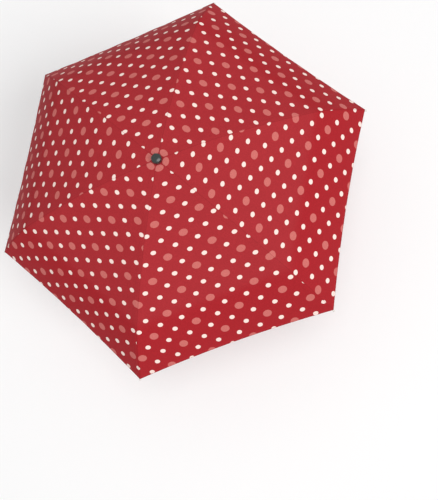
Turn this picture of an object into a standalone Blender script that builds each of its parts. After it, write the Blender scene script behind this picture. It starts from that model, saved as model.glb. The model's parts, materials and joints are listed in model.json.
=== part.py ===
"""Children's three-fold mini umbrella, open, with six ribs.

Units are metres and +Z runs up the shaft. The origin is the centre of the
handle's flat end face. Rib 1 lies along +X and the others follow every 60
degrees. Each rib is drawn once in its own plane, with u pointing outwards,
z upwards and y across the rib, and then placed at its own angle.

From the shaft outwards a rib is a top rib, a middle rib and an outer rib,
which fold in a Z. The neighbours sit side by side in layers across the rib:
the top and outer ribs at negative y, the stretcher and middle rib at
positive y, and the tie wire outside the top rib.
"""

import math

import bmesh
import bpy
from mathutils import Matrix, Vector

MM = 0.001

# ---- driving dimensions -------------------------------------------------
RIBS = 6
STEP = 360.0 / RIBS

NOTCH_Z = 530 * MM  # height of the ribs' pivots, shaft fully drawn out
PIVOT_R = 8 * MM  # radius of the pivot circles in notch and runner

TOP_RIB = 160 * MM
MIDDLE_RIB = 168 * MM
OUTER_RIB = 158 * MM
TOP_SLOPE = 7.5  # degrees below level
MIDDLE_SLOPE = 19.5
OUTER_SLOPE_START = 34.0
OUTER_SLOPE_END = 45.0
HINGE_OFFSET = 2.2 * MM  # rib hinges stand this far off the ribs' centre lines
STRETCHER = 72 * MM  # also the distance of its pin along the top rib

BAR = 2.6 * MM  # height of a rib's section
LAYER_NEAR = 0.3 * MM
LAYER_FAR = 1.9 * MM
PIN_R = 1.0 * MM
HOLE_R = 1.3 * MM
HEAD_R = 1.5 * MM
LUG_R = 2.0 * MM
WIRE_NEAR = 3.1 * MM  # tie wire's layer across the rib
WIRE_FAR = 4.0 * MM
WIRE_BACK = 3.6 * MM  # its pivot, this far inboard of the top rib's hinge
WIRE_LIFT = 3.0 * MM  # and this far above the top rib's centre line

GAP = 0.3 * MM

LOWER_R, LOWER_WALL = 3.3 * MM, 0.7 * MM
MIDDLE_R, MIDDLE_WALL = 4.2 * MM, 0.6 * MM
TOP_R, TOP_WALL = 5.1 * MM, 0.6 * MM
TRAVEL = 160 * MM  # each telescoping joint
LOWER_BOTTOM, LOWER_TOP = 9 * MM, 200 * MM
MIDDLE_BOTTOM, MIDDLE_TOP = 173.4 * MM, 376 * MM
TOP_BOTTOM, TOP_TOP = 334 * MM, 538.5 * MM

HANDLE_TOP = 46 * MM
HANDLE_X, HANDLE_Y = 38.5 * MM, 27 * MM
CAP_HEIGHT = 8 * MM
CAP_X, CAP_Y = 40.5 * MM, 29 * MM

NOTCH_R = 10.3 * MM
RUNNER_FLANGE_R = 10.3 * MM
RUNNER_R = 6.9 * MM
RUNNER_BORE = 5.5 * MM
CATCH_W, CATCH_H = 3.2 * MM, 6.0 * MM  # release button in the runner's wall
CATCH_DROP = 10 * MM  # below the runner's pivots
CATCH_IN, CATCH_OUT = 6.35 * MM, 8.3 * MM  # radii of its ends
FERRULE_FLAT = 10.25 * MM  # half the width across the flats
CLOTH_LIFT = 4.6 * MM  # canopy above the rib centre lines
CLOTH = 0.6 * MM

STRAP_W, STRAP_T, STRAP_L = 18 * MM, 1.2 * MM, 185 * MM


def rad(deg):
    return math.radians(deg)


# ---- the rib's skeleton in its own plane --------------------------------
def along(slope):
    return Vector((math.cos(rad(slope)), 0, -math.sin(rad(slope))))


def above(slope):
    return Vector((math.sin(rad(slope)), 0, math.cos(rad(slope))))


NOTCH_PIVOT = Vector((PIVOT_R, 0, NOTCH_Z))
STRETCHER_PIN = NOTCH_PIVOT + STRETCHER * along(TOP_SLOPE)
RUNNER_PIVOT = Vector(
    (PIVOT_R, 0, NOTCH_Z - 2 * STRETCHER * math.sin(rad(TOP_SLOPE)))
)
KNEE_1 = NOTCH_PIVOT + TOP_RIB * along(TOP_SLOPE) + HINGE_OFFSET * above(TOP_SLOPE)
MIDDLE_START = KNEE_1 - HINGE_OFFSET * above(MIDDLE_SLOPE)
KNEE_2 = (
    MIDDLE_START
    + MIDDLE_RIB * along(MIDDLE_SLOPE)
    - HINGE_OFFSET * above(MIDDLE_SLOPE)
)
OUTER_START = KNEE_2 + HINGE_OFFSET * above(OUTER_SLOPE_START)
WIRE_PIVOT = (
    NOTCH_PIVOT
    + (TOP_RIB - WIRE_BACK) * along(TOP_SLOPE)
    + WIRE_LIFT * above(TOP_SLOPE)
)
WIRE_END = KNEE_2 + (WIRE_PIVOT - KNEE_1)
RUNNER_Z = RUNNER_PIVOT.z


def outer_line(count):
    """Centre points and slopes along the curved outer rib."""
    point = OUTER_START.copy()
    found = []
    for i in range(count + 1):
        t = i / count
        slope = OUTER_SLOPE_START + (OUTER_SLOPE_END - OUTER_SLOPE_START) * t
        found.append((point.copy(), slope))
        half = slope + (OUTER_SLOPE_END - OUTER_SLOPE_START) * 0.5 / count
        point = point + along(half) * (OUTER_RIB / count)
    return found


# ---- scene, materials, collections --------------------------------------
def clear():
    for obj in list(bpy.data.objects):
        bpy.data.objects.remove(obj, do_unlink=True)


def collection(name):
    made = bpy.data.collections.new(name)
    bpy.context.scene.collection.children.link(made)
    return made


def material(name, colour, roughness, metallic=0.0):
    made = bpy.data.materials.new(name)
    made.use_nodes = True
    shader = made.node_tree.nodes["Principled BSDF"]
    shader.inputs["Base Color"].default_value = (*colour, 1)
    shader.inputs["Roughness"].default_value = roughness
    shader.inputs["Metallic"].default_value = metallic
    made.diffuse_color = (*colour, 1)
    return made


def add(name, data, home, stuff=None):
    obj = bpy.data.objects.new(name, data)
    home.objects.link(obj)
    if stuff is not None:
        data.materials.clear()
        data.materials.append(stuff)
    return obj


# ---- shapes -------------------------------------------------------------
def circle(x, y, radius, count=14):
    return [
        (
            x + radius * math.cos(2 * math.pi * i / count),
            y + radius * math.sin(2 * math.pi * i / count),
        )
        for i in range(count)
    ]


def arc(x, y, radius, start, end, count):
    return [
        (
            x + radius * math.cos(rad(start + (end - start) * i / count)),
            y + radius * math.sin(rad(start + (end - start) * i / count)),
        )
        for i in range(count + 1)
    ]


def outline_mesh(name, loops, thickness):
    """A flat outline with holes, given thickness, as a mesh about z = 0."""
    curve = bpy.data.curves.new(name, "CURVE")
    curve.dimensions = "2D"
    curve.fill_mode = "BOTH"
    curve.extrude = thickness / 2
    for loop in loops:
        spline = curve.splines.new("POLY")
        spline.points.add(len(loop) - 1)
        for point, (x, y) in zip(spline.points, loop):
            point.co = (x, y, 0, 1)
        spline.use_cyclic_u = True
    obj = bpy.data.objects.new(name, curve)
    bpy.context.scene.collection.objects.link(obj)
    graph = bpy.context.evaluated_depsgraph_get()
    mesh = bpy.data.meshes.new_from_object(obj.evaluated_get(graph))
    bpy.data.objects.remove(obj, do_unlink=True)
    bpy.data.curves.remove(curve)
    mesh.name = name
    weld(mesh)
    return mesh


def weld(mesh, outward=True):
    bm = bmesh.new()
    bm.from_mesh(mesh)
    bmesh.ops.remove_doubles(bm, verts=bm.verts, dist=1e-6)
    if outward:
        bmesh.ops.recalc_face_normals(bm, faces=bm.faces)
    bm.to_mesh(mesh)
    bm.free()


def plate(name, loops, y_low, y_high):
    """An outline drawn in (u, z), standing between two layers of y."""
    mesh = outline_mesh(name, loops, y_high - y_low)
    mesh.transform(Matrix.Rotation(rad(90), 4, "X"))
    mesh.transform(Matrix.Translation((0, (y_low + y_high) / 2, 0)))
    return mesh


def rod(radius, start, end, sides=14):
    """A closed cylinder from one point to another."""
    start, end = Vector(start), Vector(end)
    bm = bmesh.new()
    bmesh.ops.create_cone(
        bm,
        cap_ends=True,
        segments=sides,
        radius1=radius,
        radius2=radius,
        depth=(end - start).length,
    )
    turn = (end - start).to_track_quat("Z", "Y").to_matrix().to_4x4()
    bmesh.ops.transform(
        bm, matrix=Matrix.Translation((start + end) / 2) @ turn, verts=bm.verts
    )
    mesh = bpy.data.meshes.new("rod")
    bm.to_mesh(mesh)
    bm.free()
    return mesh


def block(low, high):
    low, high = Vector(low), Vector(high)
    bm = bmesh.new()
    bmesh.ops.create_cube(bm, size=1)
    size = high - low
    bmesh.ops.transform(
        bm,
        matrix=Matrix.Translation((low + high) / 2) @ Matrix.Diagonal((*size, 1)),
        verts=bm.verts,
    )
    mesh = bpy.data.meshes.new("block")
    bm.to_mesh(mesh)
    bm.free()
    return mesh


def combined(base, others, operation):
    """The mesh of base with each of the others joined on or cut away."""
    target = bpy.data.objects.new("target", base)
    bpy.context.scene.collection.objects.link(target)
    helpers = []
    for mesh in others:
        helper = bpy.data.objects.new("helper", mesh)
        bpy.context.scene.collection.objects.link(helper)
        helpers.append(helper)
        modifier = target.modifiers.new("cut", "BOOLEAN")
        modifier.operation = operation
        modifier.solver = "MANIFOLD" if operation == "UNION" else "EXACT"
        modifier.object = helper
    graph = bpy.context.evaluated_depsgraph_get()
    made = bpy.data.meshes.new_from_object(target.evaluated_get(graph))
    made.name = base.name
    bpy.data.objects.remove(target, do_unlink=True)
    for helper in helpers:
        bpy.data.objects.remove(helper, do_unlink=True)
    weld(made, outward=False)
    return made


def join(base, *others):
    return combined(base, others, "UNION")


def cut(base, *others):
    return combined(base, others, "DIFFERENCE")


def turned(name, profile, steps=32):
    """A closed profile of (radius, z) turned about Z, as a mesh."""
    mesh = bpy.data.meshes.new(name)
    bm = bmesh.new()
    corners = [bm.verts.new((r, 0, z)) for r, z in profile]
    for i, corner in enumerate(corners):
        following = corners[(i + 1) % len(corners)]
        if not (profile[i][0] == 0 and profile[(i + 1) % len(profile)][0] == 0):
            bm.edges.new((corner, following))
    bm.to_mesh(mesh)
    bm.free()
    obj = bpy.data.objects.new(name, mesh)
    bpy.context.scene.collection.objects.link(obj)
    screw = obj.modifiers.new("turn", "SCREW")
    screw.axis = "Z"
    screw.steps = steps
    screw.render_steps = steps
    screw.use_merge_vertices = True
    screw.merge_threshold = 1e-5
    graph = bpy.context.evaluated_depsgraph_get()
    made = bpy.data.meshes.new_from_object(obj.evaluated_get(graph))
    bpy.data.objects.remove(obj, do_unlink=True)
    made.name = name
    weld(made)
    return made


def rounded_box_outline(width, depth, power=4.0, count=40):
    """A superellipse, the soft oblong section of the handle."""
    found = []
    for i in range(count):
        a = 2 * math.pi * i / count
        c, s = math.cos(a), math.sin(a)
        found.append(
            (
                width / 2 * math.copysign(abs(c) ** (2 / power), c),
                depth / 2 * math.copysign(abs(s) ** (2 / power), s),
            )
        )
    return found


def lofted(name, levels):
    """A solid through stacked outlines of equal count: (z, points)."""
    bm = bmesh.new()
    rings = [[bm.verts.new((x, y, z)) for x, y in points] for z, points in levels]
    count = len(rings[0])
    for low, high in zip(rings, rings[1:]):
        for i in range(count):
            j = (i + 1) % count
            bm.faces.new((low[i], low[j], high[j], high[i]))
    bm.faces.new(list(reversed(rings[0])))
    bm.faces.new(rings[-1])
    mesh = bpy.data.meshes.new(name)
    bm.to_mesh(mesh)
    bm.free()
    weld(mesh)
    return mesh


def place(mesh, name, home, stuff, parent, pivot):
    """An object whose origin is its own pivot, riding on an empty."""
    shared = mesh
    obj = add(name, shared, home, stuff)
    obj.parent = parent
    obj.location = pivot
    return obj


def about(mesh, pivot):
    mesh.transform(Matrix.Translation(-Vector(pivot)))
    return mesh


def rib_point(base, slope, s, n):
    found = base + s * along(slope) + n * above(slope)
    return (found.x, found.z)


def bar_outline(base, slope, length, lug_start, lug_end, wire_lug=False):
    """A straight bar with round ends; a lug offset is 0, + above or - below."""
    half = BAR / 2

    def at(s, n):
        return rib_point(base, slope, s, n)

    def lug(s, n, start, end):
        return [
            at(s + x, n + y) for x, y in arc(0, 0, LUG_R, start, end, 8)
        ]

    points = []
    # start end, going anticlockwise in (along, above): top to bottom
    if lug_start > 0:
        points += [at(LUG_R * 1.9, half)]
        points += lug(0, lug_start, 40, 200)
        points += [at(-LUG_R * 0.8, -half)]
    else:
        points += [at(x, y) for x, y in arc(0, 0, half + 0.3 * MM, 90, 270, 8)]
    # far end
    if lug_end > 0:
        points += [at(length + LUG_R * 0.8, -half)]
        if wire_lug:
            points += lug(length, lug_end, -20, 90)
            points += [
                at(length - WIRE_BACK + x, WIRE_LIFT + y)
                for x, y in arc(0, 0, 1.2 * MM, 95, 150, 4)
            ]
            points += [at(length - WIRE_BACK - 3.5 * MM, half)]
        else:
            points += lug(length, lug_end, -20, 140)
            points += [at(length - LUG_R * 1.9, half)]
    elif lug_end < 0:
        points += [at(length - LUG_R * 1.9, -half)]
        points += lug(length, lug_end, -140, 20)
        points += [at(length + LUG_R * 0.8, half)]
    else:
        points += [
            at(length + x, y) for x, y in arc(0, 0, half + 0.3 * MM, -90, 90, 8)
        ]
    return points


def rivet(centre, root, shank_r, length, head_r, head, side, sides=14):
    """A rivet along y from its root, its head at the far end."""
    mesh = turned(
        "rivet",
        [
            (0.0, 0.0),
            (shank_r, 0.0),
            (shank_r, -length),
            (head_r, -length),
            (head_r, -length - head * 0.6),
            (head_r * 0.7, -length - head),
            (0.0, -length - head),
        ],
        sides,
    )
    mesh.transform(Matrix.Rotation(rad(90 if side > 0 else -90), 4, "X"))
    mesh.transform(Matrix.Translation((centre.x, root, centre.z)))
    return mesh


def knee_rivet(centre, side):
    """Rivet from inside one layer of ribs, through and past the next one."""
    root = -side * 1.0 * MM
    length = LAYER_FAR + GAP + 1.0 * MM
    return rivet(centre, root, PIN_R, length, HEAD_R, 0.6 * MM, side)


# ---- the pieces of one rib ----------------------------------------------
def top_rib_mesh():
    body = plate(
        "top_rib",
        [
            bar_outline(NOTCH_PIVOT, TOP_SLOPE, TOP_RIB, 0, HINGE_OFFSET, True),
            circle(NOTCH_PIVOT.x, NOTCH_PIVOT.z, 0.75 * MM, 12),
        ],
        -LAYER_FAR,
        -LAYER_NEAR,
    )
    post = rivet(WIRE_PIVOT, -1.2 * MM, 0.5 * MM, 3.1 * MM, 0.95 * MM, 0.5 * MM, -1, 12)
    return join(body, knee_rivet(STRETCHER_PIN, 1), knee_rivet(KNEE_1, 1), post)


def stretcher_mesh():
    slope = rad(TOP_SLOPE)
    start, end = STRETCHER_PIN, RUNNER_PIVOT
    direction = (end - start).normalized()
    normal = Vector((direction.z, 0, -direction.x))
    radius = 1.5 * MM
    points = []
    base_angle = math.degrees(math.atan2(normal.z, normal.x))
    for centre, turn in ((start, 0), (end, 180)):
        points += [
            (centre.x + x, centre.z + z)
            for x, z in arc(0, 0, radius, base_angle + turn, base_angle + turn - 180, 8)
        ]
    return plate(
        "stretcher",
        [
            points,
            circle(start.x, start.z, HOLE_R, 14),
            circle(end.x, end.z, 0.75 * MM, 12),
        ],
        LAYER_NEAR,
        LAYER_FAR,
    )


def middle_rib_mesh():
    body = plate(
        "middle_rib",
        [
            bar_outline(
                MIDDLE_START, MIDDLE_SLOPE, MIDDLE_RIB, HINGE_OFFSET, -HINGE_OFFSET
            ),
            circle(KNEE_1.x, KNEE_1.z, HOLE_R, 14),
        ],
        LAYER_NEAR,
        LAYER_FAR,
    )
    return join(body, knee_rivet(KNEE_2, -1))


def outer_rib_mesh():
    line = outer_line(12)
    upper, lower = [], []
    for i, (point, slope) in enumerate(line):
        half = BAR / 2 * (1 - 0.38 * i / (len(line) - 1))
        top = point + half * above(slope)
        low = point - half * above(slope)
        upper.append((top.x, top.z))
        lower.append((low.x, low.z))
    # the root lug carries the hinge eye and a short tail for the tie wire
    tail = (WIRE_END.x, WIRE_END.z)
    knee = (KNEE_2.x, KNEE_2.z)
    start_slope = -OUTER_SLOPE_START
    loop = list(reversed(upper))
    loop += [
        (knee[0] + x, knee[1] + z)
        for x, z in arc(0, 0, LUG_R, start_slope + 100, start_slope + 130, 2)
    ]
    loop += [
        (tail[0] + x, tail[1] + z) for x, z in arc(0, 0, 1.4 * MM, 120, 270, 7)
    ]
    loop += [
        (knee[0] + x, knee[1] + z)
        for x, z in arc(0, 0, LUG_R, start_slope - 110, start_slope - 30, 5)
    ]
    loop += lower[1:]
    return plate(
        "outer_rib",
        [loop, circle(knee[0], knee[1], HOLE_R, 14)],
        -LAYER_FAR,
        -LAYER_NEAR,
    )


def tip_mesh():
    """Moulded end cap, turned about its own axis, bore open to the rib."""
    end, slope = outer_line(12)[-1]
    profile = [
        (0.0, 5.2),
        (1.3, 5.0),
        (2.2, 4.1),
        (2.5, 3.0),
        (2.2, 1.9),
        (1.9, 1.2),
        (1.9, -4.5),
        (1.5, -5.0),
        (1.45, 1.0),
        (0.0, 1.0),
    ]
    mesh = turned("rib_tip", [(r * MM, z * MM) for r, z in profile], 16)
    middle_y = -(LAYER_NEAR + LAYER_FAR) / 2
    turn = Matrix.Rotation(rad(90 + slope), 4, "Y")
    mesh.transform(turn)
    mesh.transform(Matrix.Translation(end + Vector((0, middle_y, 0))))
    return mesh


def tie_wire_mesh():
    slope = MIDDLE_SLOPE
    start = WIRE_PIVOT
    length = (WIRE_END - WIRE_PIVOT).length
    run = (WIRE_END - WIRE_PIVOT).normalized()
    slope = math.degrees(math.atan2(-run.z, run.x))
    half = 0.45 * MM
    eye = 1.15 * MM

    def at(s, n):
        return rib_point(start, slope, s, n)

    loop = [at(x, y) for x, y in arc(0, 0, eye, 20, 340, 14)]
    loop += [at(length + x, y) for x, y in arc(0, 0, eye, -160, 160, 14)]
    return plate(
        "tie_wire",
        [
            loop,
            circle(start.x, start.z, 0.8 * MM, 12),
            circle(WIRE_END.x, WIRE_END.z, 0.6 * MM, 12),
        ],
        -WIRE_FAR,
        -WIRE_NEAR,
    )


# ---- the pieces on the shaft --------------------------------------------
def tube(name, radius, wall, bottom, top):
    return turned(
        name,
        [(radius, top), (radius, bottom), (radius - wall, bottom), (radius - wall, top)],
        32,
    )


def radial_block(angle, r_low, r_high, y_low, y_high, z_low, z_high):
    mesh = block((r_low, y_low, z_low), (r_high, y_high, z_high))
    mesh.transform(Matrix.Rotation(rad(angle), 4, "Z"))
    return mesh


def ring_channel(radius, minor, height, sides=10, steps=48):
    profile = [
        (radius + x, height + z) for x, z in reversed(circle(0, 0, minor, sides))
    ]
    return turned("ring", profile, steps)


def notch_mesh():
    low, high = NOTCH_Z - 3.4 * MM, NOTCH_Z + 4.0 * MM
    chamfer = 0.8 * MM
    body = turned(
        "top_notch",
        [
            (NOTCH_R - chamfer, high),
            (NOTCH_R, high - chamfer),
            (NOTCH_R, low + chamfer),
            (NOTCH_R - chamfer, low),
            (TOP_R + GAP, low),
            (TOP_R + GAP, high),
        ],
        36,
    )
    slots = [
        radial_block(
            STEP * k,
            6.0 * MM,
            NOTCH_R + 2 * MM,
            -LAYER_FAR - GAP,
            0.07 * MM,
            low - 2 * MM,
            NOTCH_Z + 2.4 * MM,
        )
        for k in range(RIBS)
    ]
    return cut(cut(body, ring_channel(PIVOT_R, 0.7 * MM, NOTCH_Z, 10, 44)), *slots)


def runner_mesh():
    z = RUNNER_Z
    body = turned(
        "runner",
        [
            (RUNNER_FLANGE_R - 0.6 * MM, z + 3.5 * MM),
            (RUNNER_FLANGE_R, z + 2.9 * MM),
            (RUNNER_FLANGE_R, z - 2.7 * MM),
            (RUNNER_FLANGE_R - 0.8 * MM, z - 3.5 * MM),
            (RUNNER_R, z - 3.9 * MM),
            (RUNNER_R, z - 14.4 * MM),
            (RUNNER_R, z - 16.6 * MM),
            (RUNNER_R - 0.4 * MM, z - 17.0 * MM),
            (RUNNER_BORE, z - 17.0 * MM),
            (RUNNER_BORE, z + 3.5 * MM),
        ],
        36,
    )
    slots = [
        radial_block(
            STEP * k,
            6.2 * MM,
            RUNNER_FLANGE_R + 2 * MM,
            -LAYER_FAR - GAP,
            LAYER_FAR + GAP,
            z - 20 * MM,
            z + 6 * MM,
        )
        for k in range(RIBS)
    ]
    window = radial_block(
        STEP / 2,
        4 * MM,
        9 * MM,
        -CATCH_W / 2 - GAP,
        CATCH_W / 2 + GAP,
        z - CATCH_DROP - CATCH_H / 2 - GAP,
        z - CATCH_DROP + CATCH_H / 2 + GAP,
    )
    return cut(body, *slots, window)


def ferrule_mesh():
    base = NOTCH_Z + CLOTH_LIFT + CLOTH + GAP
    bore_top = TOP_TOP + GAP
    top = base + 10.2 * MM

    def section(scale):
        """Hexagon with generously rounded corners and flats facing the ribs."""
        found = []
        count = 48
        for i in range(count):
            a = 360 * i / count
            folded = abs((a + 30) % 60 - 30)
            flat = FERRULE_FLAT / math.cos(rad(folded))
            round_r = FERRULE_FLAT * 1.055
            r = 1 / ((flat ** -14 + round_r ** -14) ** (1 / 14))
            r = min(flat, round_r) * 0.5 + 0.5 * (
                (flat ** -14 + round_r ** -14) ** (-1 / 14)
            )
            found.append((scale * r * math.cos(rad(a)), scale * r * math.sin(rad(a))))
        return found

    levels = [
        (base, section(0.97)),
        (base + 0.5 * MM, section(1.0)),
        (base + 5.8 * MM, section(1.0)),
        (base + 8.0 * MM, section(0.93)),
        (base + 9.4 * MM, section(0.78)),
        (top, section(0.5)),
    ]
    body = lofted("ferrule_cap", levels)
    bore = rod(TOP_R + GAP, (0, 0, base - 2 * MM), (0, 0, bore_top), 32)
    return cut(body, bore)


def canopy_profile():
    """Where the cloth runs over a rib, as (radius, z), from the centre out."""
    z = NOTCH_Z + CLOTH_LIFT
    points = [(6.0 * MM, z), (12.0 * MM, z - 0.1 * MM)]

    def lifted(point, slope, lift):
        found = point + lift * above(slope)
        points.append((found.x, found.z))

    for s in (40, 80, 120, 150):
        lifted(
            NOTCH_PIVOT + s * MM * along(TOP_SLOPE), TOP_SLOPE, CLOTH_LIFT
        )
    knee_slope = (TOP_SLOPE + MIDDLE_SLOPE) / 2
    lifted(NOTCH_PIVOT + TOP_RIB * along(TOP_SLOPE), knee_slope, CLOTH_LIFT)
    for s in (10, 45, 85, 125, 158):
        lifted(MIDDLE_START + s * MM * along(MIDDLE_SLOPE), MIDDLE_SLOPE, CLOTH_LIFT)
    line = outer_line(12)
    knee_slope = (MIDDLE_SLOPE + OUTER_SLOPE_START) / 2
    lifted(line[0][0], knee_slope, CLOTH_LIFT)
    for i in range(1, 13):
        point, slope = line[i]
        lifted(point, slope, CLOTH_LIFT - 1.5 * MM * i / 12)
    return points


def canopy_object(home, stuff, parent):
    """Six gores, straight from rib to rib, as one thin shell."""
    mesh = bpy.data.meshes.new("canopy")
    bm = bmesh.new()
    corners = [bm.verts.new((r, 0, z)) for r, z in canopy_profile()]
    for first, second in zip(corners, corners[1:]):
        bm.edges.new((first, second))
    bm.to_mesh(mesh)
    bm.free()
    obj = add("canopy", mesh, home, stuff)
    obj.parent = parent
    screw = obj.modifiers.new("gores", "SCREW")
    screw.axis = "Z"
    screw.steps = RIBS
    screw.render_steps = RIBS
    screw.use_merge_vertices = True
    screw.merge_threshold = 1e-5
    shell = obj.modifiers.new("cloth", "SOLIDIFY")
    shell.thickness = CLOTH
    shell.offset = 1.0
    shell.use_even_offset = False
    return obj


def strap_mesh():
    """Closing strap, hanging inside the hem between ribs 1 and 2."""
    r, z = canopy_profile()[-1]
    apothem = r * math.cos(rad(STEP / 2))
    out = apothem - 4.0 * MM
    top = z - 0.8 * MM
    w = STRAP_W / 2
    outline = [(-w, 0.0), (w, 0.0)]
    outline += [
        (x, -STRAP_L + w + y) for x, y in arc(0, 0, w, 0, -180, 10)
    ]
    mesh = outline_mesh("tie_strap", [outline], STRAP_T)
    # the outline's x runs along the hem and its y up
    mesh.transform(Matrix.Rotation(rad(90), 4, "X"))
    mesh.transform(Matrix.Rotation(rad(90), 4, "Z"))
    mesh.transform(Matrix.Translation((out, 0, top)))
    mesh.transform(Matrix.Rotation(rad(STEP / 2), 4, "Z"))
    return mesh


def handle_mesh():
    low = CAP_HEIGHT + GAP

    def section(scale_x, scale_y):
        return rounded_box_outline(HANDLE_X * scale_x, HANDLE_Y * scale_y)

    levels = [
        (low, section(0.97, 0.96)),
        (low + 1.0 * MM, section(1, 1)),
        (HANDLE_TOP - 8 * MM, section(1, 1)),
        (HANDLE_TOP - 4 * MM, section(0.985, 0.98)),
        (HANDLE_TOP - 1.5 * MM, section(0.93, 0.91)),
        (HANDLE_TOP, section(0.84, 0.80)),
    ]
    body = lofted("handle_grip", levels)
    socket = rod(5.7 * MM, (0, 0, 13 * MM), (0, 0, HANDLE_TOP + 5 * MM), 32)
    seat = rod(LOWER_R + GAP, (0, 0, 2 * MM), (0, 0, 20 * MM), 32)
    return cut(body, socket, seat)


def end_cap_mesh():
    def section(scale_x, scale_y):
        return rounded_box_outline(CAP_X * scale_x, CAP_Y * scale_y)

    return lofted(
        "handle_end_cap",
        [
            (0.0, section(0.88, 0.84)),
            (0.9 * MM, section(0.955, 0.94)),
            (2.6 * MM, section(1, 1)),
            (CAP_HEIGHT - 1.0 * MM, section(1, 1)),
            (CAP_HEIGHT, section(0.96, 0.95)),
        ],
    )


def detent(name, radius, wall, height, angle=30):
    """Spring leaf inside a tube, its stud filling a hole in the wall."""
    inner = radius - wall
    leaf = block(
        (inner - 1.3 * MM, -0.9 * MM, height - 6 * MM),
        (inner - 0.8 * MM, 0.9 * MM, height + 3 * MM),
    )
    stud = rod(0.9 * MM, (inner - 1.1 * MM, 0, height), (radius + 0.15 * MM, 0, height), 12)
    mesh = join(leaf, stud)
    mesh.transform(Matrix.Rotation(rad(angle), 4, "Z"))
    mesh.name = name
    return mesh


def catch_mesh():
    """Release button, a rounded block standing out of the runner's wall."""
    bm = bmesh.new()
    bmesh.ops.create_cube(bm, size=1)
    size = (CATCH_OUT - CATCH_IN, CATCH_W, CATCH_H)
    bmesh.ops.transform(bm, matrix=Matrix.Diagonal((*size, 1)), verts=bm.verts)
    outer = [
        edge
        for edge in bm.edges
        if all(vert.co.x > 0 for vert in edge.verts)
    ]
    bmesh.ops.bevel(
        bm, geom=outer, offset=0.6 * MM, segments=3, profile=0.5, affect="EDGES"
    )
    mesh = bpy.data.meshes.new("catch_button")
    bm.to_mesh(mesh)
    bm.free()
    mesh.transform(
        Matrix.Translation(
            ((CATCH_IN + CATCH_OUT) / 2, 0, RUNNER_Z - CATCH_DROP)
        )
    )
    mesh.transform(Matrix.Rotation(rad(STEP / 2), 4, "Z"))
    return mesh


def main():
    clear()
    home = collection("childrens_umbrella")

    grey = material("handle_grey", (0.37, 0.38, 0.44), 0.45)
    steel = material("steel_tube", (0.62, 0.63, 0.65), 0.28, 1.0)
    dark = material("frame_black", (0.03, 0.03, 0.035), 0.4, 0.6)
    plastic = material("black_plastic", (0.022, 0.028, 0.024), 0.42)
    pale = material("tip_white", (0.78, 0.77, 0.75), 0.5)
    cloth = material("red_dotted_cloth", (0.45, 0.022, 0.035), 0.6)
    wire = material("spring_wire", (0.55, 0.55, 0.57), 0.3, 1.0)

    shaft = add("shaft_frame", None, home)
    crown = add("crown_frame", None, home)
    crown.parent = shaft

    for name, mesh, stuff in (
        ("handle_grip", handle_mesh(), grey),
        ("handle_end_cap", end_cap_mesh(), grey),
    ):
        add(name, mesh, home, stuff).parent = shaft

    lower_hole = 187 * MM
    middle_hole = 369.5 * MM
    lower = tube("lower_tube", LOWER_R, LOWER_WALL, LOWER_BOTTOM, LOWER_TOP)
    lower = cut(
        lower,
        turned_hole(1.2 * MM, LOWER_R, lower_hole),
    )
    middle = tube("middle_tube", MIDDLE_R, MIDDLE_WALL, MIDDLE_BOTTOM, MIDDLE_TOP)
    middle = cut(middle, turned_hole(1.2 * MM, MIDDLE_R, middle_hole))
    top = tube("top_tube", TOP_R, TOP_WALL, TOP_BOTTOM, TOP_TOP)
    for name, mesh, stuff, parent in (
        ("lower_tube", lower, steel, shaft),
        (
            "lower_detent_spring",
            detent("lower_detent", LOWER_R, LOWER_WALL, lower_hole),
            wire,
            shaft,
        ),
        ("middle_tube", middle, steel, shaft),
        (
            "middle_detent_spring",
            detent("middle_detent", MIDDLE_R, MIDDLE_WALL, middle_hole),
            wire,
            shaft,
        ),
        ("top_tube", top, steel, crown),
        ("catch_button", catch_mesh(), grey, crown),
        ("top_notch", notch_mesh(), plastic, crown),
        ("notch_wire", ring_channel(PIVOT_R, 0.4 * MM, NOTCH_Z, 8, 36), wire, crown),
        ("runner", runner_mesh(), plastic, crown),
        ("ferrule_cap", ferrule_mesh(), plastic, crown),
        ("tie_strap", strap_mesh(), cloth, crown),
    ):
        add(name, mesh, home, stuff).parent = parent
    canopy_object(home, cloth, crown)

    pieces = (
        ("top_rib", about(top_rib_mesh(), NOTCH_PIVOT), NOTCH_PIVOT, dark),
        ("stretcher", about(stretcher_mesh(), STRETCHER_PIN), STRETCHER_PIN, dark),
        ("middle_rib", about(middle_rib_mesh(), KNEE_1), KNEE_1, dark),
        ("outer_rib", about(outer_rib_mesh(), KNEE_2), KNEE_2, dark),
        ("rib_tip", about(tip_mesh(), KNEE_2), KNEE_2, pale),
        ("tie_wire", about(tie_wire_mesh(), WIRE_PIVOT), WIRE_PIVOT, wire),
    )
    for k in range(RIBS):
        plane = add(f"rib_{k + 1}_plane", None, home)
        plane.parent = crown
        plane.rotation_euler = (0, 0, rad(STEP * k))
        for name, mesh, pivot, stuff in pieces:
            place(mesh, f"{name}_{k + 1}", home, stuff, plane, pivot)

    for obj in home.objects:
        if obj.type == "MESH" and obj.name != "canopy":
            obj.data.shade_smooth()
            obj.data.set_sharp_from_angle(angle=rad(35))


def turned_hole(hole_r, radius, height, angle=30):
    mesh = rod(hole_r, (radius - 2.0 * MM, 0, height), (radius + 2 * MM, 0, height), 14)
    mesh.transform(Matrix.Rotation(rad(angle), 4, "Z"))
    return mesh


main()
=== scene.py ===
"""Children's three-fold mini umbrella, standing open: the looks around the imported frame."""

import json
import math

import bpy
import numpy as np
from mathutils import Matrix, Vector

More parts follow.
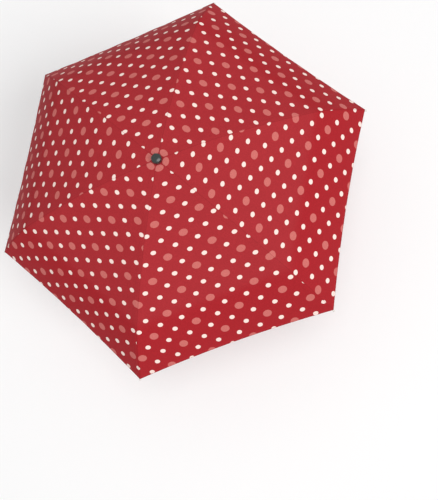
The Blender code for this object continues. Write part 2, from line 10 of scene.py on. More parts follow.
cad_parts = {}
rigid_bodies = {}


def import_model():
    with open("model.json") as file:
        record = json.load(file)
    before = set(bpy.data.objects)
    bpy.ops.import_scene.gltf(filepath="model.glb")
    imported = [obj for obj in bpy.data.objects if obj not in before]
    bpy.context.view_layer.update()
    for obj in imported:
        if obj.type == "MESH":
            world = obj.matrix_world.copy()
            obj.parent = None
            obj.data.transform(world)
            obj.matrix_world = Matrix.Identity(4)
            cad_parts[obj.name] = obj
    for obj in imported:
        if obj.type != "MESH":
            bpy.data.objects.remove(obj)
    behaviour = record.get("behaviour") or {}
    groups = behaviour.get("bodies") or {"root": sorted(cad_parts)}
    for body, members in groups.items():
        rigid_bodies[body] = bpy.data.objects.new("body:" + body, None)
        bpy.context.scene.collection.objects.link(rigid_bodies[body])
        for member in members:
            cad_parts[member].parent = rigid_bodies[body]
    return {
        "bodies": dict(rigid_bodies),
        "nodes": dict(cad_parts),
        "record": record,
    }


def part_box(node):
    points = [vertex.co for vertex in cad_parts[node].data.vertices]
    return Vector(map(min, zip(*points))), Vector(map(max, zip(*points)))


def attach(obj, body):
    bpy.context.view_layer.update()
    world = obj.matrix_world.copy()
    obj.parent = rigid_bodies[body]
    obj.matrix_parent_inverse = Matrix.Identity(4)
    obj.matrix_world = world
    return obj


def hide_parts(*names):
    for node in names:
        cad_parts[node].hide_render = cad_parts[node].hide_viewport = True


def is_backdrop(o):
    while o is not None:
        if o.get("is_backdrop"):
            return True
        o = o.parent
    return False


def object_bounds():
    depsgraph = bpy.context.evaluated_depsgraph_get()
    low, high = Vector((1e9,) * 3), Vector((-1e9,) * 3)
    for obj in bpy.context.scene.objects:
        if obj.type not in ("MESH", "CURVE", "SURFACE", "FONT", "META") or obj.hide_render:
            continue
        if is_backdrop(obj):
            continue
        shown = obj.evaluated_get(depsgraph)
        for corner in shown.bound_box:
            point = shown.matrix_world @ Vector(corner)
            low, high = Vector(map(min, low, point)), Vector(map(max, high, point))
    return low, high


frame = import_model()
cad_low, cad_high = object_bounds()
nodes = frame["nodes"]
SLOTS = {m.get("slot") for m in frame["record"].get("materials", [])}
MM = 0.001

# ---- camera, lights, floor ------------------------------------------------
camera_data = bpy.data.cameras.new("camera")
camera = bpy.data.objects.new("camera", camera_data)
bpy.context.scene.collection.objects.link(camera)
RIGHT = Vector((-0.75141, -0.64100, -0.15652))
UP = Vector((0.62577, -0.76751, 0.13904))
BACK = -Vector((0.20925, -0.00653, -0.97784))
spin = Matrix((RIGHT, UP, BACK)).transposed()
camera.matrix_world = (
    Matrix.Translation((-0.41836, 0.06527, 1.50041))
    @ spin.to_quaternion().to_matrix().to_4x4()
)
camera_data.sensor_fit = "VERTICAL"
camera_data.sensor_height = 36
camera_data.lens = 37.90
camera_data.clip_end = 60
bpy.context.scene.camera = camera

world = bpy.data.worlds.new("studio")
bpy.context.scene.world = world
world.use_nodes = True
world.node_tree.nodes["Background"].inputs["Color"].default_value = (1.0, 1.0, 1.0, 1)
world.node_tree.nodes["Background"].inputs["Strength"].default_value = 0.55


def area_light(name, at, to, size, watts, colour=(1, 1, 1)):
    data = bpy.data.lights.new(name, "AREA")
    data.shape, data.size, data.energy, data.color = "DISK", size, watts, colour
    obj = bpy.data.objects.new(name, data)
    obj.location = at
    obj.rotation_mode = "QUATERNION"
    obj.rotation_quaternion = (Vector(to) - Vector(at)).to_track_quat("-Z", "Y")
    bpy.context.scene.collection.objects.link(obj)


def sun(name, azimuth, elevation, strength, spread):
    data = bpy.data.lights.new(name, "SUN")
    data.energy, data.angle = strength, math.radians(spread)
    obj = bpy.data.objects.new(name, data)
    a, e = math.radians(azimuth), math.radians(elevation)
    back = Vector((math.cos(a) * math.cos(e), math.sin(a) * math.cos(e), math.sin(e)))
    obj.rotation_mode = "QUATERNION"
    obj.rotation_quaternion = (-back).to_track_quat("-Z", "Y")
    bpy.context.scene.collection.objects.link(obj)


sun("key", -168, 38, 1.24, 30)
area_light("overhead", (-0.55, -0.15, 3.0), (-0.05, 0, 0.5), 1.5, 25)

bpy.context.scene.view_settings.view_transform = "Standard"
bpy.context.scene.view_settings.look = "None"


# ---- node helpers ---------------------------------------------------------
class Tree:
    """A small writer for node trees: arguments are numbers or sockets."""

    def __init__(self, tree):
        self.tree = tree

    def put(self, socket, value):
        if isinstance(value, bpy.types.NodeSocket):
            self.tree.links.new(value, socket)
        elif value is not None:
            socket.default_value = value

    def math(self, op, a, b=None, c=None, clamp=False):
        node = self.tree.nodes.new("ShaderNodeMath")
        node.operation, node.use_clamp = op, clamp
        for i, v in enumerate((a, b, c)):
            self.put(node.inputs[i], v)
        return node.outputs[0]

    def ramp(self, value, low, high, to_low=0.0, to_high=1.0, smooth=True):
        node = self.tree.nodes.new("ShaderNodeMapRange")
        node.interpolation_type = "SMOOTHSTEP" if smooth else "LINEAR"
        for i, v in enumerate((value, low, high, to_low, to_high)):
            self.put(node.inputs[i], v)
        return node.outputs[0]

    def mix(self, factor, a, b):
        node = self.tree.nodes.new("ShaderNodeMix")
        node.data_type = "RGBA"
        self.put(node.inputs[0], factor)
        self.put(node.inputs[6], a)
        self.put(node.inputs[7], b)
        return node.outputs[2]

    def noise(self, scale, detail=2.0, rough=0.5, vector=None, distort=0.0):
        node = self.tree.nodes.new("ShaderNodeTexNoise")
        node.inputs["Scale"].default_value = scale
        node.inputs["Detail"].default_value = detail
        node.inputs["Roughness"].default_value = rough
        node.inputs["Distortion"].default_value = distort
        self.put(
            node.inputs["Vector"], self.place() if vector is None else vector
        )
        return node.outputs[0]

    def place(self):
        return self.tree.nodes.new("ShaderNodeTexCoord").outputs["Object"]

    def stretch(self, vector, scale):
        node = self.tree.nodes.new("ShaderNodeMapping")
        self.put(node.inputs["Vector"], vector)
        node.inputs["Scale"].default_value = scale
        return node.outputs[0]

    def attribute(self, name):
        node = self.tree.nodes.new("ShaderNodeAttribute")
        node.attribute_type, node.attribute_name = "GEOMETRY", name
        split = self.tree.nodes.new("ShaderNodeSeparateXYZ")
        self.tree.links.new(node.outputs["Vector"], split.inputs[0])
        return split.outputs

    def bump(self, height, strength, distance, normal=None):
        node = self.tree.nodes.new("ShaderNodeBump")
        node.inputs["Strength"].default_value = strength
        node.inputs["Distance"].default_value = distance
        self.put(node.inputs["Height"], height)
        self.put(node.inputs["Normal"], normal)
        return node.outputs[0]


def material(name):
    made = bpy.data.materials.new(name)
    made.use_nodes = True
    tree = made.node_tree
    return made, Tree(tree), tree.nodes["Principled BSDF"].inputs


def srgb(r, g, b):
    def one(c):
        c /= 255
        return c / 12.92 if c <= 0.04045 else ((c + 0.055) / 1.055) ** 2.4

    return (one(r), one(g), one(b), 1.0)


def shade(colour, k):
    return (colour[0] * k, colour[1] * k, colour[2] * k, 1.0)


def moulded(name, colour, rough, grain=900, depth=0.00004, worn=None, coat=0.0):
    """Injection-moulded plastic: a fine spark-eroded grain, uneven gloss and paler worn patches."""
    made, t, put = material(name)
    cloudy = t.noise(45, 3, 0.6)
    fine = t.noise(grain, 2, 0.6)
    base = t.mix(t.ramp(cloudy, 0.3, 0.7), shade(colour, 0.93), shade(colour, 1.06))
    if worn:
        rubbed = t.ramp(t.noise(130, 5, 0.7, distort=0.6), 0.62, 0.72)
        base = t.mix(t.math("MULTIPLY", rubbed, 0.35), base, worn)
    t.put(put["Base Color"], base)
    t.put(put["Roughness"], t.ramp(t.noise(160, 3), 0.3, 0.7, rough - 0.06, rough + 0.07))
    put["Coat Weight"].default_value = coat
    t.put(put["Normal"], t.bump(fine, 0.35, depth))
    return made


def plated(name, colour, rough, along=(1, 1, 1), scratches=0.3, tarnish=None):
    """Drawn or stamped steel with bright plating: drawing lines, handling marks and a little tarnish."""
    made, t, put = material(name)
    lines = t.noise(2500, 2, 0.7, t.stretch(t.place(), along))
    patches = t.noise(38, 4, 0.6)
    base = t.mix(t.ramp(patches, 0.3, 0.75), shade(colour, 1.03), shade(colour, 0.93))
    if tarnish:
        spots = t.ramp(t.noise(420, 4, 0.7), 0.66, 0.74)
        base = t.mix(t.math("MULTIPLY", spots, 0.4), base, tarnish)
    t.put(put["Base Color"], base)
    put["Metallic"].default_value = 1.0
    t.put(put["Roughness"], t.ramp(lines, 0.3, 0.7, rough - 0.05, rough + 0.09))
    t.put(put["Normal"], t.bump(lines, scratches, 0.00003))
    return made


RED = (0.372, 0.0268, 0.0330, 1.0)
# painted shade: a darker, more saturated red for the steep band by the hem
PAINTED_SHADE_RED = (0.356, 0.0150, 0.0210, 1.0)
WHITE = (0.89, 0.715, 0.65, 1.0)
PINK = srgb(199, 108, 103)

# The printed dots lie on a lattice of the flat gore: U across it, R out from the shaft.
PITCH = 47 * MM  # between dots of one row
ROW = 16.5 * MM  # between rows
FIRST = 18 * MM  # first row from the shaft
SHIFT = -2 * MM
WHITE_DOT, PINK_DOT = 5.55 / 47, 9.2 / 47


def cloth(name, stitched=True):
    """Printed polyester: white and pink dots on red, a fine weave, lockstitch by the hem and pressed seams on the ribs."""
    made, t, put = material(name)
    across, out, to_hem = t.attribute("cloth_flat")
    to_seam, down, _ = t.attribute("cloth_seam")
    wobble = t.math("MULTIPLY", t.math("SUBTRACT", t.noise(300, 2), 0.5), 0.03)
    x = t.math("DIVIDE", t.math("SUBTRACT", across, SHIFT), PITCH)
    y = t.math("DIVIDE", t.math("SUBTRACT", out, FIRST), 2 * ROW)

    def lattice(shift):
        px = t.math("SUBTRACT", x, shift)
        py = t.math("SUBTRACT", y, shift)
        rx, ry = t.math("ROUND", px), t.math("ROUND", py)
        dx, dy = t.math("SUBTRACT", px, rx), t.math("SUBTRACT", py, ry)
        gap = t.math("SQRT", t.math("ADD", t.math("MULTIPLY", dx, dx), t.math("MULTIPLY", dy, dy)))
        return t.math("ADD", gap, wobble), t.math("FLOORED_MODULO", t.math("ADD", rx, ry), 2.0)

    even, odd_one = lattice(0.0)
    between, _ = lattice(0.5)
    edge = 0.008
    small = t.ramp(even, WHITE_DOT + edge, WHITE_DOT - edge)
    white = t.math(
        "MAXIMUM",
        t.math("MULTIPLY", small, odd_one),
        t.ramp(between, WHITE_DOT + edge, WHITE_DOT - edge),
    )
    pink = t.math(
        "MULTIPLY",
        t.ramp(even, PINK_DOT + edge, PINK_DOT - edge),
        t.math("SUBTRACT", 1.0, odd_one),
    )
    grain = t.noise(420, 3, 0.6)
    slub = t.noise(60, 3, 0.6)
    red = t.mix(t.ramp(grain, 0.3, 0.7, smooth=False), shade(RED, 0.90), shade(RED, 1.12))
    red = t.mix(t.math("MULTIPLY", t.ramp(slub, 0.35, 0.7), 0.35), red, shade(RED, 0.93))
    # painted shade: the steep band by the hem is painted a darker, more saturated red, standing in for the white sheen
    # it catches less of
    red = t.mix(
        t.math("MULTIPLY", t.ramp(down, 0.318, 0.352), 0.8),
        red,
        t.mix(t.ramp(grain, 0.3, 0.7, smooth=False), shade(PAINTED_SHADE_RED, 0.90), shade(PAINTED_SHADE_RED, 1.12)),
    )
    speck = t.ramp(t.noise(900, 2, 0.7), 0.42, 0.62)
    rosy = t.mix(speck, shade(PINK, 0.90), shade(PINK, 1.10))
    base = t.mix(white, t.mix(pink, red, rosy), WHITE)

    # weave: warp across the gore, weft down it
    warp = t.math("SINE", t.math("MULTIPLY", across, 2 * math.pi / 0.00052))
    weft = t.math("SINE", t.math("MULTIPLY", down, 2 * math.pi / 0.00052))
    weave = t.math("MULTIPLY", warp, weft)
    normal = t.bump(weave, 0.25, 0.00006)
    creases = t.noise(26, 3, 0.55)
    normal = t.bump(creases, 0.25, 0.0012, normal)
    # pressed seam along each rib: a shallow groove with a soft shoulder
    groove = t.ramp(to_seam, 0.0, 0.0016)
    shoulder = t.math("MULTIPLY", t.ramp(to_seam, 0.0105, 0.0085), 0.55)
    normal = t.bump(t.math("ADD", groove, shoulder), 0.7, 0.0005, normal)
    # painted shade: the cloth is painted darker along the middle of each seam's groove
    base = t.mix(
        t.math("MULTIPLY", t.ramp(to_seam, 0.0009, 0.0002), 0.35), base, shade(RED, 0.6)
    )
    if stitched:
        dash = t.ramp(
            t.math("SINE", t.math("MULTIPLY", across, 2 * math.pi / 0.0031)), -0.55, -0.25
        )
        line = t.math(
            "SUBTRACT", 1.0, t.ramp(t.math("ABSOLUTE", t.math("SUBTRACT", to_hem, 0.0062)), 0.0002, 0.00055)
        )
        stitch = t.math("MULTIPLY", dash, line)
        base = t.mix(t.math("MULTIPLY", stitch, 0.75), base, shade(RED, 1.5))
        fold = t.ramp(to_hem, 0.0085, 0.0068)
        normal = t.bump(t.math("ADD", fold, t.math("MULTIPLY", line, -0.6)), 0.6, 0.0004, normal)
        normal = t.bump(stitch, 0.6, 0.0003, normal)
        # painted shade along the hem's edge: the cloth is painted darker over its last 1.6 mm
        base = t.mix(
            t.math("MULTIPLY", t.ramp(to_hem, 0.0016, 0.0004), 0.55), base, shade(RED, 0.45)
        )
    t.put(put["Base Color"], base)
    t.put(put["Roughness"], t.ramp(grain, 0.3, 0.7, 0.52, 0.66))
    put["Sheen Weight"].default_value = 0.01
    put["Sheen Roughness"].default_value = 0.4
    put["Specular IOR Level"].default_value = 0.04
    t.put(put["Normal"], normal)
    return made


canopy_cloth = cloth("printed_polyester")
handle_grey = moulded("soft_touch_grey", srgb(150, 150, 161), 0.5, 1100, 0.00005, srgb(178, 178, 188))
cap_grey = moulded("cap_grey", srgb(166, 166, 180), 0.34, 700, 0.00003, srgb(190, 190, 200), 0.15)
black = moulded("black_nylon", srgb(30, 31, 33), 0.44, 1000, 0.00004, srgb(62, 63, 66))
ferrule_dark = moulded("ferrule_dark", srgb(44, 50, 48), 0.3, 800, 0.00002, srgb(90, 96, 96), 0.3)
tip_white = moulded("tip_white", srgb(222, 219, 212), 0.38, 900, 0.00003, srgb(196, 192, 184))
button_grey = moulded("button_grey", srgb(120, 121, 128), 0.4, 900, 0.00003, srgb(160, 160, 166))
tube_steel = plated("tube_chrome", (0.50, 0.51, 0.53, 1), 0.2, (1, 1, 0.02), 0.2, (0.34, 0.32, 0.29, 1))
rib_steel = plated("rib_zinc", (0.58, 0.60, 0.62, 1), 0.33, (0.06, 0.06, 1), 0.3, (0.36, 0.33, 0.29, 1))
wire_steel = plated("wire_zinc", (0.62, 0.63, 0.65, 1), 0.28, (0.05, 0.05, 1), 0.25)
spring_steel = plated("spring_steel", (0.50, 0.51, 0.53, 1), 0.3, (1, 1, 0.1), 0.3)

LOOKS = {
    "handle_grip": handle_grey,
    "handle_end_cap": cap_grey,
    "lower_tube": tube_steel,
    "middle_tube": tube_steel,
    "top_tube": tube_steel,
    "lower_detent_spring": spring_steel,
    "middle_detent_spring": spring_steel,
    "catch_button": button_grey,
    "top_notch": black,
    "runner": black,
    "notch_wire": wire_steel,
    "ferrule_cap": ferrule_dark,
}
for name, obj in nodes.items():
    look = LOOKS.get(name)
    if look is None:
        look = (
            tip_white
            if name.startswith("rib_tip")
            else wire_steel
            if name.startswith("tie_wire")
            else rib_steel
        )
    obj.data.materials.clear()
    obj.data.materials.append(look)

# ---- the cloth's shape ------------------------------------------------------
RIBS = 6
GORE = 96  # columns across one gore
LIFT = 4.9 * MM
CLOTH = 0.22 * MM


def al(slope):
    a = math.radians(slope)
    return np.array((math.cos(a), -math.sin(a)))


def ab(slope):
    a = math.radians(slope)
    return np.array((math.sin(a), math.cos(a)))


PIVOT = np.array((0.008, 0.530))
KNEE1 = PIVOT + 0.160 * al(7.5) + 0.0022 * ab(7.5)
MIDDLE = KNEE1 - 0.0022 * ab(19.5)
KNEE2 = MIDDLE + 0.168 * al(19.5) - 0.0022 * ab(19.5)
OUTER = KNEE2 + 0.0022 * ab(34)
TIP = OUTER.copy()
for k in range(12):
    TIP = TIP + al(34 + 11 * (k + 0.5) / 12) * (0.158 / 12)


def hermite(p, q, slope_p, slope_q, count):
    u = np.linspace(0, 1, count)[:, None]
    chord = np.linalg.norm(q - p)
    a, b = al(slope_p) * chord, al(slope_q) * chord
    return (
        (2 * u**3 - 3 * u**2 + 1) * p
        + (u**3 - 2 * u**2 + u) * a
        + (-2 * u**3 + 3 * u**2) * q
        + (u**3 - u**2) * b
    )


over1 = PIVOT + 0.160 * al(7.5) + LIFT * ab(13.5)
over2 = OUTER + LIFT * ab(26.75)
end = TIP - 0.0030 * al(45) + 0.0031 * ab(45)
apex = np.array((0.012, 0.5346))
profile = np.concatenate(
    [
        np.array([(0.006, 0.5347)]),
        hermite(apex, over1, 2.0, 12.0, 300),
        hermite(over1, over2, 14.5, 24.5, 300)[1:],
        hermite(over2, end, 29.0, 45.5, 300)[1:],
    ]
)
arc = np.r_[0, np.cumsum(np.hypot(*np.diff(profile, axis=0).T))]
S1 = arc[300]
S2 = arc[599]
S = arc[-1]


def over_rib(s):
    return np.interp(s, arc, profile[:, 0]), np.interp(s, arc, profile[:, 1])


def smooth(x):
    x = np.clip(x, 0, 1)
    return x * x * (3 - 2 * x)


C30, T30 = math.cos(math.pi / 6), math.tan(math.pi / 6)


def bowed(s, t):
    """Arc length with the hem bowed in between the ribs."""
    return s - 12.5 * MM * (1 - t * t) * smooth((s / S - 0.72) / 0.28)


def flat_place(s, t, turn, lift=0.0):
    """(x, y, z), U and R of a point: s along the rib, t from -1 to 1 across the gore."""
    s = bowed(s, t)
    r, z = over_rib(s)
    out = r * C30
    u = t * out * T30
    belly = (1 - t * t) * 3.4 * MM * smooth(s / S * 1.6) * (1 - 0.5 * smooth((s / S - 0.8) / 0.2))
    near = smooth((s / S - 0.88) / 0.12)
    ripple = 0.7 * MM * near * (1 - t**4) * np.sin(u / 0.0125 + 1.3 * turn)
    pull = (
        0.45 * MM
        * np.sin(u * 34 + s * 21 + turn * 1.7)
        * np.sin(s * 47 - u * 15 + turn)
        * (1 - t * t)
        * smooth(s / S * 3)
    )
    a = math.radians(1) * (60 * turn + 30)
    ca, sa = np.cos(a), np.sin(a)
    z = z - belly + ripple + pull + lift
    return np.stack([out * ca - u * sa, out * sa + u * ca, z], -1), u, out


# Closed, relative to the ribs' pivots, mm: down between the top ribs and the
# middle ribs, up again past the ferrule, over the second knee and down outside.
DOWN = [(6, 4.7), (10.0, 4.6), (10.6, 4.0), (10.6, -6), (10.58, -12), (10.58, -150.0), (10.68, -150.5)]
UPWARD = [
    (10.68, -150.5), (10.78, -150.0), (10.78, -8), (10.7, -3), (10.6, 7), (10.75, 11.4),
    (11.6, 14.1), (13.2, 15.0), (14.8, 15.1),
]
OUTSIDE = [
    (14.8, 15.1), (17.3, 14.1), (19.2, 11.6), (20.2, 7), (20.6, 2), (21.1, -12), (21.7, -28),
    (22.2, -43), (22.45, -58), (22.5, -73), (22.35, -88), (22.0, -103), (21.5, -118),
    (20.7, -132), (20.1, -145), (19.9, -153.5),
]
WIND = 6.6  # mm of radius for each turn of the rolled flaps
ROLL_R = 25.5


def along_path(points, share):
    points = np.array(points, float)
    length = np.r_[0, np.cumsum(np.hypot(*np.diff(points, axis=0).T))]
    at = np.clip(share, 0, 1) * length[-1]
    return np.interp(at, length, points[:, 0]), np.interp(at, length, points[:, 1])


def rolled_place(s, t, turn, proud=0.0):
    """The same point with the frame folded and the cloth wound round it."""
    s = bowed(s, t)
    r1, z1 = along_path(DOWN, s / S1)
    r2, z2 = along_path(UPWARD, (s - S1) / (S2 - S1))
    r3, z3 = along_path(OUTSIDE, (s - S2) / (S - S2) * (1 - 0.065 * (1 - t * t)))
    r2 = r2 + 0.75 * (1 - np.abs(t)) * smooth((z2 + 12) / 12)
    r = np.where(s <= S1, r1, np.where(s <= S2, r2, r3))
    z = np.where(s <= S1, z1, np.where(s <= S2, z2, z3))
    w = smooth((s - S2 - 2 * MM) / (30 * MM))
    side, _ = over_rib(s)
    swing = w * np.degrees(side / 2 * 1000 / ROLL_R)
    q = 1 - np.abs(t)
    first = 60 * turn
    going = t <= 0
    way = q * (30 + swing)
    back = q * (swing - 30)
    travel = np.maximum(back, 0)
    turned = np.where(going, first + way, first + 60 + back)
    grown = travel + 30 * smooth(travel / 30)
    grown = grown + (30 + swing - grown) * smooth((q - 0.98) / 0.02)
    grow = np.where(going, way, grown) * WIND / 360
    # the twist between rows makes chords, so the shoulder stands a little prouder
    r = r + w * grow + proud * w + 0.9 * 4 * w * (1 - w)
    a = np.radians(turned)
    return np.stack([r * np.cos(a) * MM, r * np.sin(a) * MM, 0.530 + z * MM], -1)


def add_fold(obj, laid=False):
    """Carries the cloth from open to rolled as the runner comes down the shaft, and lays the strap on the floor when the shaft is pushed in."""
    group = bpy.data.node_groups.new(obj.name + "_fold", "GeometryNodeTree")
    group.interface.new_socket("Geometry", in_out="INPUT", socket_type="NodeSocketGeometry")
    group.interface.new_socket("Geometry", in_out="OUTPUT", socket_type="NodeSocketGeometry")
    add = group.nodes.new
    link = group.links.new
    given, result = add("NodeGroupInput"), add("NodeGroupOutput")
    info = add("GeometryNodeObjectInfo")
    info.transform_space = "RELATIVE"
    info.inputs["Object"].default_value = frame["bodies"]["runner"]
    split = add("ShaderNodeSeparateXYZ")
    link(info.outputs["Location"], split.inputs[0])
    share = add("ShaderNodeMapRange")
    share.inputs[1].default_value = 0.0
    share.inputs[2].default_value = -0.1252042
    link(split.outputs[2], share.inputs[0])
    closed = add("GeometryNodeInputNamedAttribute")
    closed.data_type = "FLOAT_VECTOR"
    closed.inputs["Name"].default_value = "rolled"
    here = add("GeometryNodeInputPosition")
    start = here.outputs[0]
    if laid:
        base = add("GeometryNodeObjectInfo")
        base.transform_space = "RELATIVE"
        base.inputs["Object"].default_value = frame["bodies"]["handle"]
        parts = add("ShaderNodeSeparateXYZ")
        link(base.outputs["Location"], parts.inputs[0])
        drop = add("ShaderNodeMapRange")
        drop.inputs[1].default_value = 0.17
        drop.inputs[2].default_value = 0.32
        link(parts.outputs[2], drop.inputs[0])
        lying = add("GeometryNodeInputNamedAttribute")
        lying.data_type = "FLOAT_VECTOR"
        lying.inputs["Name"].default_value = "laid"
        down = add("ShaderNodeMix")
        down.data_type = "VECTOR"
        link(drop.outputs[0], down.inputs[0])
        link(start, down.inputs[4])
        link(lying.outputs[0], down.inputs[5])
        start = down.outputs[1]
    mix = add("ShaderNodeMix")
    mix.data_type = "VECTOR"
    link(share.outputs[0], mix.inputs[0])
    link(start, mix.inputs[4])
    link(closed.outputs[0], mix.inputs[5])
    move = add("GeometryNodeSetPosition")
    link(given.outputs[0], move.inputs["Geometry"])
    link(mix.outputs[1], move.inputs["Position"])
    link(move.outputs[0], result.inputs[0])
    modifier = obj.modifiers.new("fold", "NODES")
    modifier.node_group = group


def cloth_object(name, rows, first, last, sink=0.0, proud=0.0):
    """A sheet round all six gores between two arc lengths, with its seams shared."""
    rows = np.array(sorted(r for r in rows if first - 1e-9 <= r <= last + 1e-9))
    columns = np.arange(RIBS * GORE)
    turn = (columns // GORE).astype(float)
    t = -1 + 2 * (columns % GORE) / GORE
    s = np.repeat(rows[:, None], len(columns), 1)
    tt = np.repeat(t[None], len(rows), 0)
    gg = np.repeat(turn[None], len(rows), 0)
    points, _, _ = flat_place(s, tt, gg, -sink)
    rolled = rolled_place(s, tt, gg, proud)
    count = len(columns)
    faces, flat, seam = [], [], []
    for j in range(len(rows) - 1):
        for i in range(count):
            g, c = divmod(i, GORE)
            nxt = (i + 1) % count
            faces.append((j * count + i, (j + 1) * count + i, (j + 1) * count + nxt, j * count + nxt))
            for jj, cc in ((j, c), (j + 1, c), (j + 1, c + 1), (j, c + 1)):
                flat.append((rows[jj], -1 + 2 * cc / GORE, g))
    mesh = bpy.data.meshes.new(name)
    mesh.from_pydata(points.reshape(-1, 3).tolist(), [], faces)
    corner = np.array(flat)
    _, u, out = flat_place(corner[:, 0], corner[:, 1], corner[:, 2])
    side = over_rib(bowed(corner[:, 0], corner[:, 1]))[0]
    to_hem = (S - corner[:, 0]) * 1.0
    to_seam = (1 - np.abs(corner[:, 1])) * side / 2 * C30
    for attribute, values in (
        ("cloth_flat", np.stack([u, out, to_hem], -1)),
        ("cloth_seam", np.stack([to_seam, bowed(corner[:, 0], corner[:, 1]), 0 * u], -1)),
    ):
        made = mesh.attributes.new(attribute, "FLOAT_VECTOR", "CORNER")
        made.data.foreach_set("vector", values.astype(np.float32).ravel())
    made = mesh.attributes.new("rolled", "FLOAT_VECTOR", "POINT")
    made.data.foreach_set("vector", rolled.reshape(-1, 3).astype(np.float32).ravel())
    mesh.polygons.foreach_set("use_smooth", [True] * len(faces))
    mesh.update()
    obj = bpy.data.objects.new(name, mesh)
    bpy.context.scene.collection.objects.link(obj)
    return obj


def thicken(obj, thickness, offset=-1.0):
    solid = obj.modifiers.new("thickness", "SOLIDIFY")
    solid.thickness, solid.offset = thickness, offset
    solid.use_quality_normals = False


rows = set(np.round(np.linspace(0, S, 58), 6)) | {S}
rows |= set(np.round(S1 + np.array([-6, -3, -1.2, 0, 1.2, 3, 6]) * MM, 6))
rows |= set(np.round(np.arange(S2 - 18 * MM, S2 + 1 * MM, 2.4 * MM), 6))
rows |= set(np.round(np.arange(S2 + 1 * MM, S2 + 35 * MM, 1.15 * MM), 6))
rows |= set(np.round(S - np.array([7.4, 5.0, 2.5, 1.2]) * MM, 6))
rows = {r for r in rows if 0 <= r <= S}

canopy = cloth_object("canopy_cloth", rows, 0, S)
canopy.data.materials.append(canopy_cloth)
add_fold(canopy)
thicken(canopy, CLOTH)
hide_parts("canopy")
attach(canopy, "crown")

hem = cloth_object("canopy_hem", rows, S - 7.41 * MM, S, 0.75 * MM, -0.33)
hem.data.materials.append(canopy_cloth)
add_fold(hem)
thicken(hem, 0.35 * MM)
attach(hem, "crown")

total = sum(p.area for p in canopy.data.polygons)
print("canopy area m2", round(total, 4), "S", round(S, 4), round(S1, 4), round(S2, 4))

# ---- tie strap --------------------------------------------------------------
STRAP_W, STRAP_L = 18 * MM, 190 * MM
low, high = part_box("tie_strap")
root, _, root_out = flat_place(np.array([S]), np.array([0.0]), np.array([0.0]))
STRAP_ROOT = (float(root_out[0]) - 0.0006, float(root[0, 2]) - 0.0011)


def strap_object(name, start, stop, width, off, thickness, look):
    """A band on the strap: length from the hem, width across, off from its inner face."""
    n, m = max(2, int((stop - start) / 0.003)), 6
    ell = np.linspace(start, stop, n + 1)
    wid = np.linspace(-width / 2, width / 2, m + 1)
    L, W = np.meshgrid(ell, wid, indexing="ij")
    a = math.radians(30)
    # from under the hem, over its edge and down to hang plumb
    hang = math.hypot((low.x + high.x) / 2, (low.y + high.y) / 2)
    start_r, start_z = STRAP_ROOT
    sway = 0.0022 * np.sin(L * 24) * smooth(L / 0.05)
    curl = 0.0012 * (W / (STRAP_W / 2)) ** 2 * smooth(L / 0.03)
    tilt = 1 - smooth(L / 0.016)
    rr = start_r + (hang - start_r) * smooth(L / 0.06) + sway + curl + off
    rr = rr - 0.0045 * tilt
    points = np.stack(
        [
            rr * math.cos(a) - W * math.sin(a),
            rr * math.sin(a) + W * math.cos(a),
            start_z + 0.0032 * tilt - L * 0.995,
        ],
        -1,
    )
    # the shaft pushed in: down to the floor and then out along it
    plumb = start_z - 0.3225
    past = np.maximum(L - plumb, 0)
    bend = 0.010
    turned = np.clip((L - plumb + bend) / (2 * bend), 0, 1)
    laid_r = rr + past
    laid_z = np.maximum(start_z + 0.0032 * tilt - L, 0.3225 + 0.004 * (1 - turned) * turned) + off
    laid = np.stack(
        [
            laid_r * math.cos(a) - W * math.sin(a),
            laid_r * math.sin(a) + W * math.cos(a),
            laid_z,
        ],
        -1,
    )
    radius = 31.4 * MM + off
    psi = math.radians(150) + L / 0.0314
    rolled = np.stack(
        [radius * np.cos(psi), radius * np.sin(psi), 0.530 - 0.117 + W], -1
    )
    faces, flat = [], []
    for j in range(n):
        for i in range(m):
            faces.append(
                (j * (m + 1) + i, (j + 1) * (m + 1) + i, (j + 1) * (m + 1) + i + 1, j * (m + 1) + i + 1)
            )
            for jj, ii in ((j, i), (j + 1, i), (j + 1, i + 1), (j, i + 1)):
                flat.append((wid[ii], ell[jj]))
    mesh = bpy.data.meshes.new(name)
    mesh.from_pydata(points.reshape(-1, 3).tolist(), [], faces)
    made = mesh.attributes.new("rolled", "FLOAT_VECTOR", "POINT")
    made.data.foreach_set("vector", rolled.reshape(-1, 3).astype(np.float32).ravel())
    made = mesh.attributes.new("laid", "FLOAT_VECTOR", "POINT")
    made.data.foreach_set("vector", laid.reshape(-1, 3).astype(np.float32).ravel())
    made = mesh.attributes.new("strap_flat", "FLOAT_VECTOR", "CORNER")
    made.data.foreach_set(
        "vector", np.array([(w, l, 0) for w, l in flat], np.float32).ravel()
    )
    mesh.polygons.foreach_set("use_smooth", [True] * len(faces))
    mesh.update()
    obj = bpy.data.objects.new(name, mesh)
    bpy.context.scene.collection.objects.link(obj)
    obj.data.materials.append(look)
    add_fold(obj, laid=True)
    thicken(obj, thickness, 0.0)
    return obj


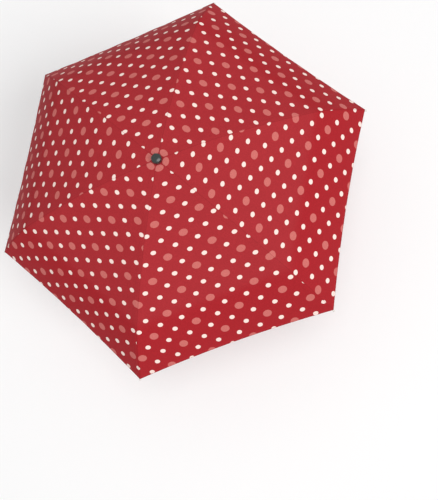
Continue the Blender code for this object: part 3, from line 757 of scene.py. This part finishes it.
def strap_cloth():
    made, t, put = material("strap_polyester")
    across, down, _ = t.attribute("strap_flat")
    grain = t.noise(500, 3, 0.6)
    base = t.mix(t.ramp(grain, 0.3, 0.7, smooth=False), shade(RED, 0.88), shade(RED, 1.12))
    dash = t.ramp(t.math("SINE", t.math("MULTIPLY", down, 2 * math.pi / 0.0031)), -0.55, -0.25)
    line = t.math(
        "SUBTRACT", 1.0,
        t.ramp(t.math("ABSOLUTE", t.math("SUBTRACT", t.math("ABSOLUTE", across), 0.0073)), 0.0002, 0.0005),
    )
    stitch = t.math("MULTIPLY", dash, line)
    base = t.mix(t.math("MULTIPLY", stitch, 0.8), base, shade(RED, 1.7))
    warp = t.math("SINE", t.math("MULTIPLY", across, 2 * math.pi / 0.0006))
    weft = t.math("SINE", t.math("MULTIPLY", down, 2 * math.pi / 0.0006))
    normal = t.bump(t.math("MULTIPLY", warp, weft), 0.3, 0.00008)
    normal = t.bump(line, -0.5, 0.0003, normal)
    normal = t.bump(stitch, 0.6, 0.0003, normal)
    t.put(put["Base Color"], base)
    t.put(put["Roughness"], t.ramp(grain, 0.3, 0.7, 0.55, 0.7))
    put["Sheen Weight"].default_value = 0.01
    put["Specular IOR Level"].default_value = 0.07
    t.put(put["Normal"], normal)
    return made


def hook_tape():
    made, t, put = material("hook_tape")
    fuzz = t.noise(1500, 3, 0.7)
    base = t.mix(t.ramp(fuzz, 0.35, 0.65), srgb(96, 18, 26), srgb(150, 36, 44))
    t.put(put["Base Color"], base)
    t.put(put["Roughness"], t.ramp(fuzz, 0.3, 0.7, 0.8, 0.95))
    put["Sheen Weight"].default_value = 0.05
    put["Specular IOR Level"].default_value = 0.1
    t.put(put["Normal"], t.bump(fuzz, 0.9, 0.0005))
    return made


strap = strap_object("tie_strap_cloth", 0.0, STRAP_L, STRAP_W, 0.0, 0.7 * MM, strap_cloth())
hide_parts("tie_strap")
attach(strap, "crown")
hook = strap_object("strap_hook_tape", STRAP_L - 0.030, STRAP_L - 0.003, 0.0125, -0.55 * MM, 0.5 * MM, hook_tape())
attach(hook, "crown")

# ---- floor -------------------------------------------------------------------
mesh = bpy.data.meshes.new("floor")
cells, half = 40, 22.0
grid = np.linspace(-half, half, cells + 1)
mesh.from_pydata(
    [(x, y, 0.0) for y in grid for x in grid],
    [],
    [
        (j * (cells + 1) + i, j * (cells + 1) + i + 1, (j + 1) * (cells + 1) + i + 1, (j + 1) * (cells + 1) + i)
        for j in range(cells)
        for i in range(cells)
    ],
)
floor = bpy.data.objects.new("floor", mesh)
bpy.context.scene.collection.objects.link(floor)
floor_look, t, put = material("floor_pale")
t.put(put["Base Color"], t.mix(t.noise(3, 2), (0.975, 0.975, 0.975, 1), (0.985, 0.985, 0.985, 1)))
put["Roughness"].default_value = 0.75
put["Specular IOR Level"].default_value = 0.2
floor.data.materials.append(floor_look)
floor.location.z = cad_low.z - 0.0005
floor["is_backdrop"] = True

low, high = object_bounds()
